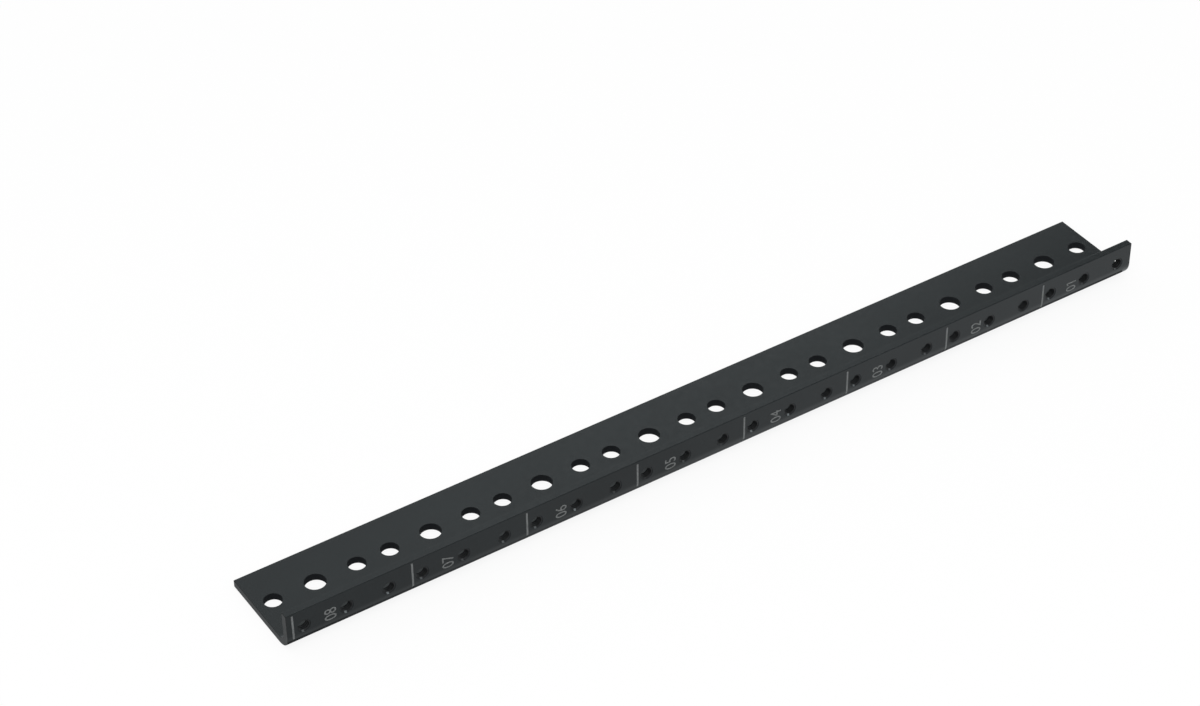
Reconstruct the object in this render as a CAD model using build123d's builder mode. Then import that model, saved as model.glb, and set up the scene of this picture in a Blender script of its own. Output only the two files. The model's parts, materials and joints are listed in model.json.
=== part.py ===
from build123d import *
import os

# An eight unit rack mounting rail. It is one angle bent from steel sheet: the wide flange
# lies flat and bolts to the rack's side, and the narrow flange stands at the front edge
# and takes the panel screws. X runs along the rail, the front is minus Y, and Z is up.
# The origin is the middle of the rail's footprint, on the wide flange's underside.

# Rack pitch: three holes to a unit, evenly stepped and centred in it
rack_unit = 44.45
unit_count = 8
hole_step = 15.875

# Bent sheet, with the finish counted in its thickness
sheet = 2.8
wide_flange = 38.1
narrow_flange = 15.9
inside_bend = 3.75
edge_break = 0.2

# Plain holes through the wide flange, measured back from the rail's front face
wide_hole_setback = 22.25
small_hole = 6.6
large_hole = 7.75

# Tapped holes through the narrow flange, measured down from its top edge
tapped_hole_drop = 6.9
tapped_hole = 4.82
tap_lead_in = 0.2

rail_length = rack_unit * unit_count
outside_bend = inside_bend + sheet
front = -wide_flange / 2
back = wide_flange / 2

# Where the two rows of holes start from, each plane facing the side it is punched from
wide_flange_top = Plane((0, front + wide_hole_setback, sheet), x_dir=(1, 0, 0), z_dir=(0, 0, 1))
narrow_flange_face = Plane(
    (0, front, narrow_flange - tapped_hole_drop), x_dir=(1, 0, 0), z_dir=(0, -1, 0)
)

with BuildPart() as rack_rail:
    # The section: the outer line of the angle, thickened inwards to one sheet
    with BuildSketch(Plane.YZ) as section:
        with BuildLine():
            FilletPolyline(
                (back, 0), (front, 0), (front, narrow_flange), radius=outside_bend
            )
            offset(amount=sheet, side=Side.RIGHT)
        make_face()
        flange_tips = section.vertices().group_by(Axis.X)[-1] + section.vertices().group_by(Axis.Y)[-1]
        fillet(flange_tips, edge_break)
    extrude(amount=rail_length / 2, both=True)

    # The finish rounds the cut ends
    fillet(rack_rail.faces().sort_by(Axis.X)[0].edges(), edge_break)
    fillet(rack_rail.faces().sort_by(Axis.X)[-1].edges(), edge_break)

    # Wide flange: in each unit a large plain hole between two small ones
    with Locations(wide_flange_top):
        with GridLocations(rack_unit, 0, unit_count, 1):
            Hole(large_hole / 2, depth=sheet)
            with GridLocations(2 * hole_step, 0, 2, 1):
                Hole(small_hole / 2, depth=sheet)

    # Narrow flange: three tapped holes in each unit, in line with those of the wide flange
    with Locations(narrow_flange_face):
        with GridLocations(rack_unit, 0, unit_count, 1):
            with GridLocations(hole_step, 0, 3, 1):
                CounterSinkHole(
                    tapped_hole / 2, tapped_hole / 2 + tap_lead_in, depth=sheet, counter_sink_angle=90
                )

rack_rail.part.label = "rack_rail"
os.makedirs("parts", exist_ok=True)
export_step(rack_rail.part, "parts/rack_rail.step")
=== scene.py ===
import json
import math

import bpy
from mathutils import Euler, Matrix, Vector


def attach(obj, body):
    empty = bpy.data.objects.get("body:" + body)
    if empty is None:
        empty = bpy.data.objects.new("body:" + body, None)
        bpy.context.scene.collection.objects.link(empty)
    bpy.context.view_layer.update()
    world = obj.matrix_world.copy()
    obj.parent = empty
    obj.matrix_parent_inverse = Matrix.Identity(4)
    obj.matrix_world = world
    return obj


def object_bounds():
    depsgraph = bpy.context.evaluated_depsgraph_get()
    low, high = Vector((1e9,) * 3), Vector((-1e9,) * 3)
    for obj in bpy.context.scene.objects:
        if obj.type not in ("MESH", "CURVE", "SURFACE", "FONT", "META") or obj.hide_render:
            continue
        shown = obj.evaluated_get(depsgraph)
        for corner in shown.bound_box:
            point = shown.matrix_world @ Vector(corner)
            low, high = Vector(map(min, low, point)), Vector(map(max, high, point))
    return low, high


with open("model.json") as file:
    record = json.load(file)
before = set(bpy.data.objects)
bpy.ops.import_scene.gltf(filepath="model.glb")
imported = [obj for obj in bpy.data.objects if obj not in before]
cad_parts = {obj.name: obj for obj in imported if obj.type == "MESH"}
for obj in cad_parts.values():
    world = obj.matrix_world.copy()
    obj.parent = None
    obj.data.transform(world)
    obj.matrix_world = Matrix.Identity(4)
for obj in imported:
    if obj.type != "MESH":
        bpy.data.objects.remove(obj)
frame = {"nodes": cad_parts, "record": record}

# Dresses an eight unit rack mounting rail: satin black powder coat, cut threads in the
# tapped holes, and the pale grey unit lines and numbers printed on the narrow flange.
# Lengths are in millimetres times mm. X runs along the rail, the front is minus Y, Z is up.

mm = 0.001
mergeGap = 0.0005 * mm           # vertices nearer than this become one
cadLow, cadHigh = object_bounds()
rail = frame["nodes"]["rack_rail"]
mounts = {mount["name"]: mount for mount in frame["record"]["mounts"]}

railFacts = {
    "unit": 44.45 * mm,          # rack pitch
    "units": 8,
    "holesPerUnit": 3,
    "holeStep": 15.875 * mm,
    "sheet": 2.8 * mm,
    "tapRow": mounts["panel_screws_u08"]["pos_m"][2],
    "tapRadius": mounts["panel_screws_u08"]["dims"]["hole_r_mm"] * mm,
    "plainRow": mounts["case_bolts_large_ends"]["pos_m"][1],
}
front = cadLow.y                 # the narrow flange's outer face
firstEnd = cadLow.x              # the end beside the highest number
firstHole = firstEnd + railFacts["unit"] / 2 - railFacts["holeStep"]


# Small helpers

def letGo():
    if bpy.context.object and bpy.context.object.mode != "OBJECT":
        bpy.ops.object.mode_set(mode="OBJECT")
    bpy.ops.object.select_all(action="DESELECT")


def pick(piece):
    letGo()
    piece.select_set(True)
    bpy.context.view_layer.objects.active = piece


def settle(piece):
    # puts the piece's place into its mesh, with the object at the origin
    pick(piece)
    bpy.ops.object.transform_apply(location=True, rotation=True, scale=True)


def applyModifier(piece, kind, **settings):
    pick(piece)
    modifier = piece.modifiers.new(kind.title(), kind)
    for name, value in settings.items():
        setattr(modifier, name, value)
    bpy.ops.object.modifier_apply(modifier=modifier.name)


def selectVertices(piece, isWanted):
    # picks vertices by their place, then goes back to edit mode
    bpy.ops.object.mode_set(mode="EDIT")
    bpy.ops.mesh.select_mode(type="VERT")
    bpy.ops.mesh.select_all(action="DESELECT")
    bpy.ops.object.mode_set(mode="OBJECT")
    for vertex in piece.data.vertices:
        vertex.select = isWanted(vertex.co)
    bpy.ops.object.mode_set(mode="EDIT")


def finishMesh(piece, smoothAngle):
    pick(piece)
    bpy.ops.object.mode_set(mode="EDIT")
    bpy.ops.mesh.select_all(action="SELECT")
    bpy.ops.mesh.remove_doubles(threshold=mergeGap)
    bpy.ops.mesh.normals_make_consistent(inside=False)
    bpy.ops.object.mode_set(mode="OBJECT")
    bpy.ops.object.shade_smooth_by_angle(angle=math.radians(smoothAngle))


# Node helpers

def newMaterial(name):
    material = bpy.data.materials.new(name)
    material.use_nodes = True
    nodes = material.node_tree.nodes
    shader = nodes["Principled BSDF"]
    return material, nodes, material.node_tree.links, shader


def addAxes(nodes, links, vector):
    axes = nodes.new("ShaderNodeSeparateXYZ")
    links.new(vector, axes.inputs["Vector"])
    return axes.outputs


def addNoise(nodes, links, vector, scale, detail, roughness=0.5):
    noise = nodes.new("ShaderNodeTexNoise")
    noise.inputs["Scale"].default_value = scale
    noise.inputs["Detail"].default_value = detail
    noise.inputs["Roughness"].default_value = roughness
    links.new(vector, noise.inputs["Vector"])
    return noise.outputs["Fac"]


def addRange(nodes, links, value, fromLow, fromHigh, toLow, toHigh):
    spread = nodes.new("ShaderNodeMapRange")
    spread.inputs["From Min"].default_value = fromLow
    spread.inputs["From Max"].default_value = fromHigh
    spread.inputs["To Min"].default_value = toLow
    spread.inputs["To Max"].default_value = toHigh
    links.new(value, spread.inputs["Value"])
    return spread.outputs["Result"]


def addMath(nodes, links, operation, *values):
    step = nodes.new("ShaderNodeMath")
    step.operation = operation
    for socket, value in zip(step.inputs, values):
        if isinstance(value, (int, float)):
            socket.default_value = value
        else:
            links.new(value, socket)
    return step.outputs["Value"]


def addBetween(nodes, links, value, low, high):
    # one from low to high, and zero outside
    offset = addMath(nodes, links, "SUBTRACT", value, (low + high) / 2)
    distance = addMath(nodes, links, "ABSOLUTE", offset)
    return addMath(nodes, links, "LESS_THAN", distance, (high - low) / 2)


def addMix(nodes, links, factor, first, second):
    mix = nodes.new("ShaderNodeMix")
    mix.data_type = "RGBA"
    links.new(factor, mix.inputs["Factor"])
    for name, value in (("A", first), ("B", second)):
        socket = [each for each in mix.inputs if each.name == name and each.type == "RGBA"][0]
        if isinstance(value, tuple):
            socket.default_value = (*value, 1)
        else:
            links.new(value, socket)
    return [each for each in mix.outputs if each.type == "RGBA"][0]


def addBump(nodes, links, shader, height, distance, strength):
    bump = nodes.new("ShaderNodeBump")
    bump.inputs["Strength"].default_value = strength
    bump.inputs["Distance"].default_value = distance
    links.new(height, bump.inputs["Height"])
    links.new(bump.outputs["Normal"], shader.inputs["Normal"])


# Bare steel where the screws enter, low and to the left in each tapped hole

wearLook = {
    "steel": (0.19, 0.20, 0.205),
    "besideAxis": (-0.97 * mm, -0.13 * mm),
    "belowAxis": (1.75 * mm, 2.75 * mm),
    "behindFace": (0.02 * mm, 0.50 * mm),   # the face itself stays coated
    "holeSpread": 63,            # how fast the wear changes from hole to hole
    "holeLevel": (0.36, 0.70),   # the noise that shows no wear and full wear
}


def addWear(nodes, links, place, axes):
    look = wearLook
    unit, step = railFacts["unit"], railFacts["holeStep"]
    nearest, furthest = look["belowAxis"]
    skin, depth = look["behindFace"]
    # the place in the unit, then beside the nearest of its three holes
    inUnit = addMath(nodes, links, "WRAP", axes["X"], firstEnd + unit, firstEnd)
    fromFirst = addMath(nodes, links, "SUBTRACT", inUnit, firstHole)
    beside = addMath(nodes, links, "WRAP", fromFirst, step / 2, -step / 2)
    row = railFacts["tapRow"]
    masks = (
        addBetween(nodes, links, beside, *look["besideAxis"]),
        addBetween(nodes, links, axes["Z"], row - furthest, row - nearest),
        addBetween(nodes, links, axes["Y"], front + skin, front + depth),
    )
    level = addNoise(nodes, links, place, look["holeSpread"], 1)
    wear = addRange(nodes, links, level, *look["holeLevel"], 0, 1)
    for mask in masks:
        wear = addMath(nodes, links, "MULTIPLY", wear, mask)
    return wear


# The powder coat

coatLook = {
    "deep": (0.0050, 0.0072, 0.0080),    # where the coat pools
    "pale": (0.0085, 0.0115, 0.0125),
    "inHole": (0.0067, 0.0083, 0.0107),  # thin coat and painted shade on the walls of the holes
    "sheared": (0.0060, 0.0062, 0.0064), # the two cut ends
    "roughness": (0.17, 0.23),
    "wallRougher": 0.54,         # how much rougher the walls of the holes are
    "shearedRougher": 0.31,
    "wearRougher": -0.40,        # the bare steel is smoother
    "specular": 0.30,
    "cloudScale": 24,            # how fine each noise is, to the metre
    "mottleScale": 420,
    "peelScale": 700,
    "grainScale": 4200,
    "mottleShare": 0.5,
    "grainShare": 0.15,
    "toneLevel": (0.55, 0.95),   # the noise that is all deep and all pale
    "glossLevel": (0.3, 0.7),
    "peelHeight": 0.010 * mm,
    "peelStrength": 0.6,
    "wallStart": 0.05 * mm,      # the walls of the holes count from here, behind each face
    "plainReach": 4.2 * mm,      # how far round each row its holes' walls are looked for
    "tapReach": 2.7 * mm,
    "wallsEnd": 1.0 * mm,        # no walls nearer to the rail's ends than this
    "shearedDepth": 0.15 * mm,
}


def makePowderCoat():
    look = coatLook
    material, nodes, links, shader = newMaterial("satin_powder_coat")
    place = nodes.new("ShaderNodeTexCoord").outputs["Object"]
    axes = addAxes(nodes, links, place)

    # Broad clouds of tone, with a finer mottle over them
    clouds = addNoise(nodes, links, place, look["cloudScale"], 3)
    mottle = addNoise(nodes, links, place, look["mottleScale"], 4, 0.6)
    shareOfMottle = addMath(nodes, links, "MULTIPLY", mottle, look["mottleShare"])
    tone = addMath(nodes, links, "ADD", clouds, shareOfMottle)
    toneMix = addRange(nodes, links, tone, *look["toneLevel"], 0, 1)
    openColour = addMix(nodes, links, toneMix, look["deep"], look["pale"])

    # The holes' walls are inside the sheet's thickness and near a row of holes
    def band(axis, low, high):
        return addBetween(nodes, links, axes[axis], low, high)

    start, end = look["wallStart"], railFacts["sheet"] - look["wallStart"]
    plainRow, plainReach = railFacts["plainRow"], look["plainReach"]
    plainWalls = addMath(
        nodes, links, "MULTIPLY",
        band("Z", start, end), band("Y", plainRow - plainReach, plainRow + plainReach),
    )
    tapRow, tapReach = railFacts["tapRow"], look["tapReach"]
    tappedWalls = addMath(
        nodes, links, "MULTIPLY",
        band("Y", front + start, front + end), band("Z", tapRow - tapReach, tapRow + tapReach),
    )
    distanceOut = addMath(nodes, links, "ABSOLUTE", axes["X"])
    betweenEnds = addMath(nodes, links, "LESS_THAN", distanceOut, -firstEnd - look["wallsEnd"])
    bothWalls = addMath(nodes, links, "MAXIMUM", plainWalls, tappedWalls)
    walls = addMath(nodes, links, "MULTIPLY", bothWalls, betweenEnds)
    endFace = -firstEnd - look["shearedDepth"]
    sheared = addMath(nodes, links, "GREATER_THAN", distanceOut, endFace)
    wear = addWear(nodes, links, place, axes)
    # the walls of the holes take a darker colour: a thinner coat, and painted shade in these
    # recesses
    colour = addMix(nodes, links, walls, openColour, look["inHole"])
    colour = addMix(nodes, links, sheared, colour, look["sheared"])
    colour = addMix(nodes, links, wear, colour, wearLook["steel"])
    links.new(colour, shader.inputs["Base Color"])
    links.new(wear, shader.inputs["Metallic"])

    # Every cut face is rougher than the rolled ones
    rough = addRange(nodes, links, mottle, *look["glossLevel"], *look["roughness"])
    rougher = ((walls, "wallRougher"), (sheared, "shearedRougher"), (wear, "wearRougher"))
    for mask, name in rougher:
        more = addMath(nodes, links, "MULTIPLY", mask, look[name])
        rough = addMath(nodes, links, "ADD", rough, more)
    links.new(rough, shader.inputs["Roughness"])
    shader.inputs["Specular IOR Level"].default_value = look["specular"]

    # Orange peel, with the powder's grain on it
    peel = addNoise(nodes, links, place, look["peelScale"], 2)
    grain = addNoise(nodes, links, place, look["grainScale"], 2)
    shareOfGrain = addMath(nodes, links, "MULTIPLY", grain, look["grainShare"])
    height = addMath(nodes, links, "ADD", peel, shareOfGrain)
    addBump(nodes, links, shader, height, look["peelHeight"], look["peelStrength"])
    return material


powderCoat = makePowderCoat()
if len(rail.data.materials) == 0:
    rail.data.materials.append(powderCoat)
for index in range(len(rail.data.materials)):
    rail.data.materials[index] = powderCoat
print("powder coat on the rail")


# The threads of the tapped holes

tappedThread = {
    "pitch": 0.794 * mm,         # 32 threads to the inch
    "crestRadius": 1.98 * mm,
    "crestWidth": 0.24 * mm,
    "rootWidth": 0.70 * mm,
    "rootSink": 0.03 * mm,       # the roots reach this far into the hole's wall
    "stepsPerTurn": 36,
    "turns": 5,
    "startDepth": 0.22 * mm,     # behind the lead-in
    "endGap": 0.06 * mm,
    "smoothAngle": 25,
    "deep": (0.0055, 0.006, 0.0065),
    "pale": (0.020, 0.021, 0.022),
    "roughness": (0.43, 0.32),
    "specular": 0.27,
    "mottleScale": 900,
    "mottleLevel": (0.45, 0.75), # the noise that is all deep and all pale
    "grainScale": 2600,
    "grainHeight": 0.02 * mm,
    "grainStrength": 0.5,
}


def makeThreadSteel():
    look = tappedThread
    material, nodes, links, shader = newMaterial("coated_thread")
    place = nodes.new("ShaderNodeTexCoord").outputs["Object"]
    mottle = addNoise(nodes, links, place, look["mottleScale"], 3)
    mottle = addRange(nodes, links, mottle, *look["mottleLevel"], 0, 1)
    coat = addMix(nodes, links, mottle, look["deep"], look["pale"])
    wear = addWear(nodes, links, place, addAxes(nodes, links, place))
    colour = addMix(nodes, links, wear, coat, wearLook["steel"])
    links.new(colour, shader.inputs["Base Color"])
    links.new(wear, shader.inputs["Metallic"])
    rough = addRange(nodes, links, mottle, 0, 1, *look["roughness"])
    links.new(rough, shader.inputs["Roughness"])
    shader.inputs["Specular IOR Level"].default_value = look["specular"]
    grain = addNoise(nodes, links, place, look["grainScale"], 2)
    addBump(nodes, links, shader, grain, look["grainHeight"], look["grainStrength"])
    return material


def makeThreads():
    form = tappedThread
    outerRadius = railFacts["tapRadius"] + form["rootSink"]
    middleRadius = (outerRadius + form["crestRadius"]) / 2
    letGo()
    # One tooth's section, a plane stood up on edge beside the axis
    bpy.ops.mesh.primitive_plane_add(
        size=1, location=(middleRadius, 0, 0), rotation=(math.radians(90), 0, 0)
    )
    thread = bpy.context.object
    thread.name = thread.data.name = "tapped_threads"
    thread.scale = (outerRadius - form["crestRadius"], form["rootWidth"], 1)
    settle(thread)
    selectVertices(thread, lambda co: co.x < middleRadius)
    bpy.ops.transform.resize(value=(1, 1, form["crestWidth"] / form["rootWidth"]))
    bpy.ops.mesh.select_all(action="SELECT")
    bpy.ops.mesh.delete(type="ONLY_FACE")
    bpy.ops.object.mode_set(mode="OBJECT")
    applyModifier(
        thread, "SCREW",
        axis="Z", angle=2 * math.pi, screw_offset=form["pitch"], iterations=form["turns"],
        steps=form["stepsPerTurn"], render_steps=form["stepsPerTurn"],
    )

    # Close the coil's two ends, then trim it square at both faces of the sheet
    pick(thread)
    bpy.ops.object.mode_set(mode="EDIT")
    bpy.ops.mesh.select_mode(type="EDGE")
    bpy.ops.mesh.select_all(action="DESELECT")
    bpy.ops.mesh.select_non_manifold()
    bpy.ops.mesh.edge_face_add()
    bpy.ops.mesh.select_all(action="SELECT")
    bpy.ops.mesh.normals_make_consistent(inside=False)
    bpy.ops.object.mode_set(mode="OBJECT")
    depth = railFacts["sheet"] - form["startDepth"] - form["endGap"]
    middle = form["turns"] * form["pitch"] / 2
    letGo()
    bpy.ops.mesh.primitive_cylinder_add(
        vertices=16, radius=2 * outerRadius, depth=depth, location=(0, 0, middle)
    )
    trimmer = bpy.context.object
    settle(trimmer)
    applyModifier(thread, "BOOLEAN", operation="INTERSECT", solver="EXACT", object=trimmer)
    bpy.data.objects.remove(trimmer)
    applyModifier(thread, "TRIANGULATE", min_vertices=5)
    finishMesh(thread, form["smoothAngle"])

    # Lay the axis along Y, set it in the first hole, then repeat it along the rail
    thread.rotation_euler = (math.radians(-90), 0, 0)
    thread.location = (
        firstHole, front + form["startDepth"] + depth / 2 - middle, railFacts["tapRow"]
    )
    settle(thread)
    repeats = (
        (railFacts["holesPerUnit"], railFacts["holeStep"]),
        (railFacts["units"], railFacts["unit"]),
    )
    for count, step in repeats:
        applyModifier(
            thread, "ARRAY",
            count=count, use_relative_offset=False, use_constant_offset=True,
            constant_offset_displace=(step, 0, 0),
        )
    thread.data.materials.append(makeThreadSteel())
    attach(thread, "root")
    holes = railFacts["holesPerUnit"] * railFacts["units"]
    print("threads cut in", holes, "holes,", len(thread.data.polygons), "faces")


makeThreads()


# The printed lines and numbers

printInk = {
    "proud": 0.03 * mm,
    "sunk": 0.02 * mm,
    "clearance": 1.0 * mm,       # how far in front the ink starts before it is laid on
    "smoothAngle": 30,
    "thin": (0.10, 0.105, 0.105),
    "full": (0.18, 0.187, 0.187),
    "roughness": (0.62, 0.48),
    "patchScale": 1800,
    "patchLevel": (0.35, 0.62),  # the noise where the ink is thin and full
    "glossLevel": (0.3, 0.7),
    "grainHeight": 0.01 * mm,
    "grainStrength": 0.5,
}
unitLine = {
    "fromRailEnd": 2.30 * mm,    # the first line
    "fromUnitEnd": 2.62 * mm,    # the others
    "width": 0.70 * mm,
    "low": 4.95 * mm,            # of the first line, like its upper end
    "high": 15.20 * mm,
    "dropEach": 0.11 * mm,       # the print runs slightly askew along the rail
    "cornerRadius": 0.12 * mm,
    "cornerSteps": 3,
    "stepsUp": 16,
}
unitNumber = {
    "fromUnitEnd": 16.34 * mm,
    "middle": 9.03 * mm,         # height of the first number's middle
    "dropEach": 0.06 * mm,
    "digitHeight": 4.45 * mm,
    "curveSteps": 6,
    "narrowing": 0.83,
    # of the built-in font at size 1, which draws the one as a bare bar
    "fontDigitHeight": 0.70,
    "oneStem": 0.202,            # its left edge
    "oneSlack": 0.02,
    "oneFlag": (-0.125, -0.070), # how far the flag reaches from the stem's top
    "flagWidth": 0.085,
}


def makeInk():
    look = printInk
    material, nodes, links, shader = newMaterial("printed_ink")
    place = nodes.new("ShaderNodeTexCoord").outputs["Object"]
    patches = addNoise(nodes, links, place, look["patchScale"], 4, 0.65)
    cover = addRange(nodes, links, patches, *look["patchLevel"], 0, 1)
    colour = addMix(nodes, links, cover, look["thin"], look["full"])
    links.new(colour, shader.inputs["Base Color"])
    rough = addRange(nodes, links, patches, *look["glossLevel"], *look["roughness"])
    links.new(rough, shader.inputs["Roughness"])
    addBump(nodes, links, shader, patches, look["grainHeight"], look["grainStrength"])
    return material


def layInk(piece, ink):
    # presses a flat shape onto the flange and gives it the ink's thickness
    form = printInk
    thickness = form["proud"] + form["sunk"]
    applyModifier(
        piece, "SHRINKWRAP",
        target=rail, wrap_method="PROJECT", use_project_y=True,
        use_positive_direction=True, use_negative_direction=False,
    )
    applyModifier(
        piece, "SOLIDIFY",
        thickness=thickness, offset=(form["proud"] - form["sunk"]) / thickness,
    )
    finishMesh(piece, form["smoothAngle"])
    piece.data.materials.clear()
    piece.data.materials.append(ink)
    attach(piece, "root")


def makeLine(index, ink):
    form = unitLine
    height = form["high"] - form["low"]
    low = form["low"] - form["dropEach"] * index
    inwards = form["fromUnitEnd"] if index else form["fromRailEnd"]
    letGo()
    bpy.ops.mesh.primitive_plane_add(
        size=1, rotation=(math.radians(90), 0, 0),
        location=(
            firstEnd + index * railFacts["unit"] + inwards,
            front - printInk["clearance"],
            low + height / 2,
        ),
    )
    line = bpy.context.object
    line.name = line.data.name = f"unit_line_{railFacts['units'] - index:02d}"
    line.scale = (form["width"], height, 1)
    settle(line)
    bpy.ops.object.mode_set(mode="EDIT")
    bpy.ops.mesh.select_all(action="SELECT")
    bpy.ops.mesh.bevel(
        offset=form["cornerRadius"], segments=form["cornerSteps"], affect="VERTICES"
    )
    bpy.ops.object.mode_set(mode="OBJECT")
    for step in range(1, form["stepsUp"]):
        bpy.ops.object.mode_set(mode="EDIT")
        bpy.ops.mesh.select_all(action="SELECT")
        bpy.ops.mesh.bisect(
            plane_co=(0, 0, low + height * step / form["stepsUp"]), plane_no=(0, 0, 1)
        )
        bpy.ops.object.mode_set(mode="OBJECT")
    layInk(line, ink)


def drawFlag(text, size):
    # draws the one's flag out of the upper end of its stem
    form = unitNumber
    leftEdge = form["oneStem"] * size
    slack = form["oneSlack"] * size

    def onStem(co):
        return co.x > leftEdge - slack

    stemTop = max(vertex.co.y for vertex in text.data.vertices if onStem(vertex.co))
    flagLow = stemTop - form["flagWidth"] * size

    def atFlag(co):
        return abs(co.x - leftEdge) < slack and co.y > flagLow - mergeGap

    selectVertices(text, onStem)
    bpy.ops.mesh.bisect(plane_co=(0, flagLow, 0), plane_no=(0, 1, 0))
    bpy.ops.object.mode_set(mode="OBJECT")
    selectVertices(text, atFlag)
    reach = Vector((*form["oneFlag"], 0)) * size
    bpy.ops.mesh.extrude_region_move(TRANSFORM_OT_translate={"value": reach})
    bpy.ops.object.mode_set(mode="OBJECT")


def makeNumber(index, ink):
    form = unitNumber
    number = railFacts["units"] - index
    size = form["digitHeight"] / form["fontDigitHeight"]
    letGo()
    bpy.ops.object.text_add()
    text = bpy.context.object
    text.data.body = f"{number:02d}"
    text.data.size = size
    text.data.align_x = "CENTER"
    text.data.align_y = "CENTER"
    text.data.resolution_u = form["curveSteps"]
    bpy.ops.object.convert(target="MESH")
    text = bpy.context.object
    text.name = text.data.name = f"unit_number_{number:02d}"
    if number == 1:
        drawFlag(text, size)
    # It reads upwards, with its head towards the rail's first end
    text.rotation_euler = (math.radians(90), math.radians(-90), 0)
    text.scale = (form["narrowing"], 1, 1)
    text.location = (
        firstEnd + index * railFacts["unit"] + form["fromUnitEnd"],
        front - printInk["clearance"],
        form["middle"] - form["dropEach"] * index,
    )
    settle(text)
    layInk(text, ink)


ink = makeInk()
for index in range(railFacts["units"]):
    makeLine(index, ink)
    makeNumber(index, ink)
print("unit lines and numbers printed")


# Which rays look straight at the studio, and which see it in a reflection

def addRays(nodes, links):
    path = nodes.new("ShaderNodeLightPath").outputs
    direct = addMath(
        nodes, links, "MAXIMUM", path["Is Camera Ray"], path["Is Transmission Ray"]
    )
    return direct, path["Is Glossy Ray"]


# The floor

floorLook = {
    "size": 6.0,
    "colour": (0.88, 0.88, 0.88),
    "roughness": 0.9,
    "specular": 0.1,
    "white": 0.85,               # share of plain white to the camera, the rest takes the shadow
    "lift": 1.035,               # how bright that white is
    "glow": (0.96, 1.00, 1.02),  # its colour in reflections
    "shine": (0.64, 0.94),       # and its painted brightness there, at the rail's first and last end
    "sideShine": 0.82,           # past the rail's ends
    "shade": (0.58, 0.88),       # how much painted shade it has under the bend, at the middle and the ends
    "shadeReach": 1.2 * mm,      # how far in front of the rail that shade goes
    "underShine": 0.46,          # painted light under the wide flange, where light falls through the holes
    "underRange": (4 * mm, 12 * mm),    # behind the rail's front, where that starts and is full
}


def makeFloor():
    look = floorLook
    letGo()
    bpy.ops.mesh.primitive_plane_add(size=look["size"], location=(0, 0, 0))
    floor = bpy.context.object
    floor.name = "studio_floor"
    material, nodes, links, shader = newMaterial("white_floor")
    shader.inputs["Base Color"].default_value = (*look["colour"], 1)
    shader.inputs["Roughness"].default_value = look["roughness"]
    shader.inputs["Specular IOR Level"].default_value = look["specular"]
    glow = nodes.new("ShaderNodeEmission")
    direct, reflected = addRays(nodes, links)
    colour = addMix(nodes, links, direct, look["glow"], (1.0, 1.0, 1.0))
    links.new(colour, glow.inputs["Color"])

    # What reflections see: a painted glow, brighter towards the last end, with painted shade where
    # the rail's front edge shades it
    axes = addAxes(nodes, links, nodes.new("ShaderNodeTexCoord").outputs["Object"])
    shine = addRange(nodes, links, axes["X"], cadLow.x, cadHigh.x, *look["shine"])
    distanceOut = addMath(nodes, links, "ABSOLUTE", axes["X"])
    shade = addMath(
        nodes, links, "MULTIPLY",
        addRange(nodes, links, distanceOut, 0, cadHigh.x, *look["shade"]),
        addRange(nodes, links, axes["Y"], front, front - look["shadeReach"], 1, 0),
    )
    underStart, underFull = look["underRange"]
    under = addRange(
        nodes, links, axes["Y"], front + underStart, front + underFull, 0, look["underShine"]
    )
    unshaded = addMath(nodes, links, "SUBTRACT", 1.0, shade)
    clear = addMath(nodes, links, "MAXIMUM", unshaded, under)
    beside = addMath(nodes, links, "GREATER_THAN", distanceOut, cadHigh.x)
    shine = addMath(
        nodes, links, "MAXIMUM",
        addMath(nodes, links, "MULTIPLY", shine, clear),
        addMath(nodes, links, "MULTIPLY", beside, look["sideShine"]),
    )

    # What the camera sees: plain white, with a share of the floor's own shadow
    lift = addMath(nodes, links, "MULTIPLY", direct, look["lift"])
    links.new(addMath(nodes, links, "MAXIMUM", lift, shine), glow.inputs["Strength"])
    white = addMath(nodes, links, "MULTIPLY", direct, look["white"])
    mix = nodes.new("ShaderNodeMixShader")
    links.new(addMath(nodes, links, "MAXIMUM", white, reflected), mix.inputs[0])
    links.new(shader.outputs["BSDF"], mix.inputs[1])
    links.new(glow.outputs["Emission"], mix.inputs[2])
    links.new(mix.outputs["Shader"], nodes["Material Output"].inputs["Surface"])
    floor.data.materials.append(material)


# The room

roomLook = {
    "fill": 0.60,                # the world's strength on the object
    "colour": (0.93, 1.00, 1.02),       # what reflections see of the world
    "slant": (0.36, -0.93),      # across its dark band overhead, in plan
    "rise": (-0.70, -0.645),     # where the room grows brighter, at a height of one
    "peak": 3.0,
    "fall": (-0.640, -0.606),    # where its dark band starts
    "dark": 0.03,                # the band's share of the brightness before it
    "back": (0.6, 1.1),          # where the band ends, towards the front
    "front": 1.0,                # and how bright it is there
    "lowest": 0.05,              # heights under this count as this
}


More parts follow.
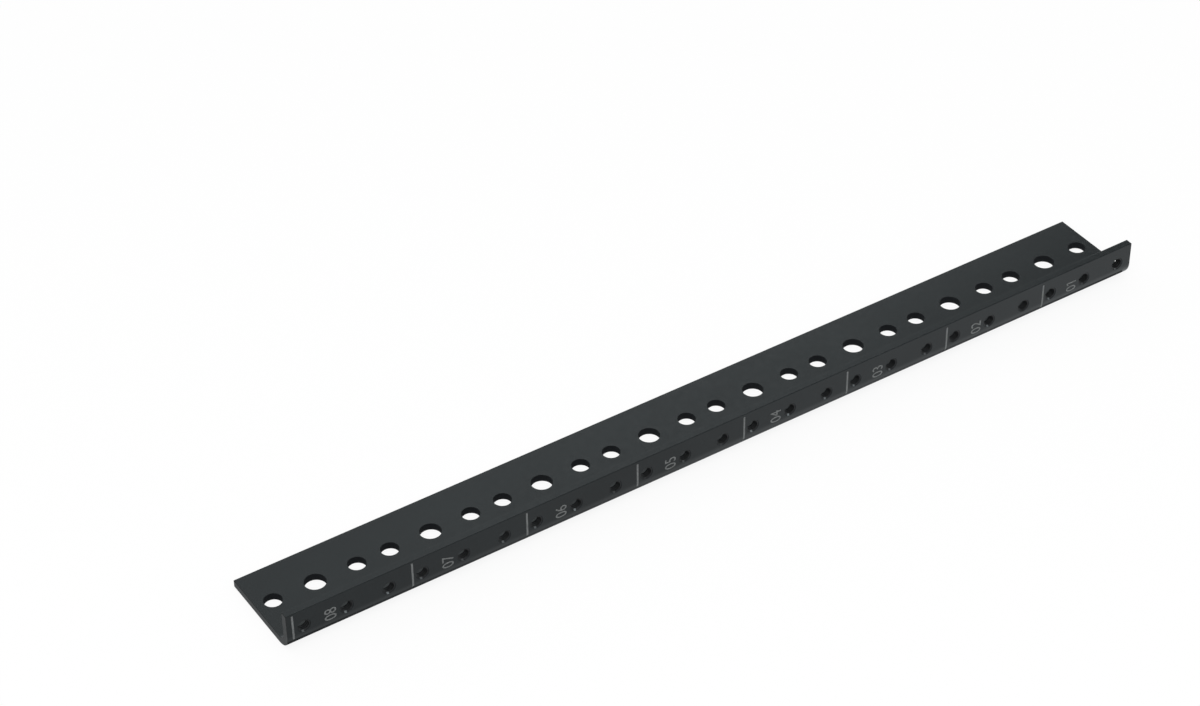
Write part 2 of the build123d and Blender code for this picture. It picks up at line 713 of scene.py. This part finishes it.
def makeWorld():
    look = roomLook
    world = bpy.data.worlds.new("studio_world")
    bpy.context.scene.world = world
    world.use_nodes = True
    nodes, links = world.node_tree.nodes, world.node_tree.links
    light = nodes["Background"]
    light.inputs["Color"].default_value = (1, 1, 1, 1)
    light.inputs["Strength"].default_value = look["fill"]
    # white to the camera and through clear things, the fill to the rest
    direct, reflected = addRays(nodes, links)
    plain = nodes.new("ShaderNodeBackground")
    # reflections see a white room with a dark band slanting overhead
    axes = addAxes(nodes, links, nodes.new("ShaderNodeTexCoord").outputs["Generated"])
    across = addMath(nodes, links, "MULTIPLY", axes["X"], look["slant"][0])
    along = addMath(nodes, links, "MULTIPLY", axes["Y"], look["slant"][1])
    height = addMath(nodes, links, "MAXIMUM", axes["Z"], look["lowest"])
    plan = addMath(nodes, links, "ADD", across, along)
    place = addMath(nodes, links, "DIVIDE", plan, height)
    rise = addRange(nodes, links, place, *look["rise"], 1, look["peak"])
    fall = addRange(nodes, links, place, *look["fall"], 1, look["dark"])
    back = addRange(nodes, links, place, *look["back"], 0, look["front"])
    overhead = addMath(nodes, links, "MULTIPLY", rise, fall)
    level = addMath(nodes, links, "MAXIMUM", overhead, back)
    level = addMath(nodes, links, "MULTIPLY", level, reflected)
    links.new(addMath(nodes, links, "MAXIMUM", level, direct), plain.inputs["Strength"])
    room = addMix(nodes, links, reflected, (1.0, 1.0, 1.0), look["colour"])
    links.new(room, plain.inputs["Color"])
    mix = nodes.new("ShaderNodeMixShader")
    links.new(addMath(nodes, links, "MAXIMUM", direct, reflected), mix.inputs[0])
    links.new(light.outputs["Background"], mix.inputs[1])
    links.new(plain.outputs["Background"], mix.inputs[2])
    links.new(mix.outputs["Shader"], nodes["World Output"].inputs["Surface"])


# The light, which looks at the origin

softbox = {
    "place": (-0.7, -0.9, 1.9),
    "power": 22.0,
    "size": (2.2, 2.2),
}


def makeSoftbox():
    place = Vector(softbox["place"])
    letGo()
    bpy.ops.object.light_add(type="AREA", location=place)
    lamp = bpy.context.object
    lamp.name = "key_softbox"
    lamp.data.shape = "RECTANGLE"
    lamp.data.size, lamp.data.size_y = softbox["size"]
    lamp.data.energy = softbox["power"]
    lamp.rotation_euler = (-place).to_track_quat("-Z", "Y").to_euler()


# The camera

photoView = {
    "aim": (-14.90 * mm, 45.71 * mm, 8.0 * mm),  # what the middle of the picture looks at
    "azimuth": 32.45,            # degrees that the view turns from +Y towards +X
    "elevation": 38.92,
    "roll": -1.10,
    "distance": 1097.3 * mm,
    "lens": 91.72,
    "sensor": 36.0,
    "clipStart": 10 * mm,
}


def makeCamera():
    view = photoView
    aim = Vector(view["aim"])
    tilt = Euler((math.radians(90 - view["elevation"]), 0, -math.radians(view["azimuth"])))
    turn = tilt.to_matrix() @ Matrix.Rotation(math.radians(view["roll"]), 3, "Z")
    letGo()
    bpy.ops.object.camera_add(
        location=aim + turn @ Vector((0, 0, view["distance"])), rotation=turn.to_euler()
    )
    camera = bpy.context.object
    camera.data.lens = view["lens"]
    camera.data.sensor_width = view["sensor"]
    camera.data.clip_start = view["clipStart"]
    bpy.context.scene.camera = camera


makeFloor()
makeWorld()
makeSoftbox()
makeCamera()
bpy.context.scene.view_settings.view_transform = "Standard"
print("floor, light and camera placed")
